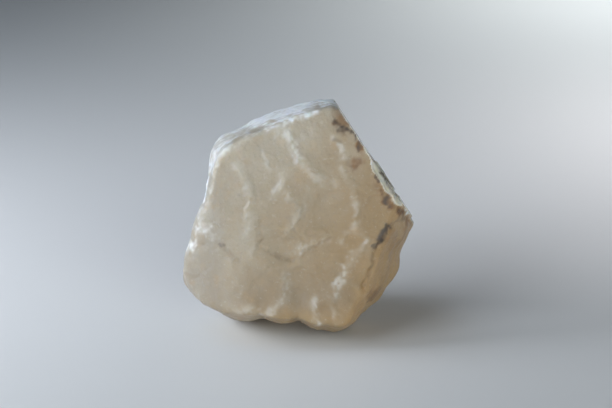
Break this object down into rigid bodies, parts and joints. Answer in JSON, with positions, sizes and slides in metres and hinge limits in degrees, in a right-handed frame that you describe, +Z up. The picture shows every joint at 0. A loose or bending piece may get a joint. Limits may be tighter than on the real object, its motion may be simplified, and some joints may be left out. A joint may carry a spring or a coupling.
{
  "type": "fluorite crystal",
  "caption": "Raw milky fluorite lump with a broad pitted front crossed by raised seams, worn bevels, and fresh stepped cleavage faces that meet the skin in crisp edges.",
  "frame": {"origin": "on the ground, under the middle of the stone's bounding box", "axes": "+Z up, +X across the broad front to its right, -Y out of the broad front towards the viewer"},
  "size_m": [0.0438, 0.03, 0.0434],
  "materials": {
    "fluorite": "waxy, milky, translucent"
  },
  "bodies": {
    "root": {"crystal": "fluorite"}
  },
  "joints": []
}
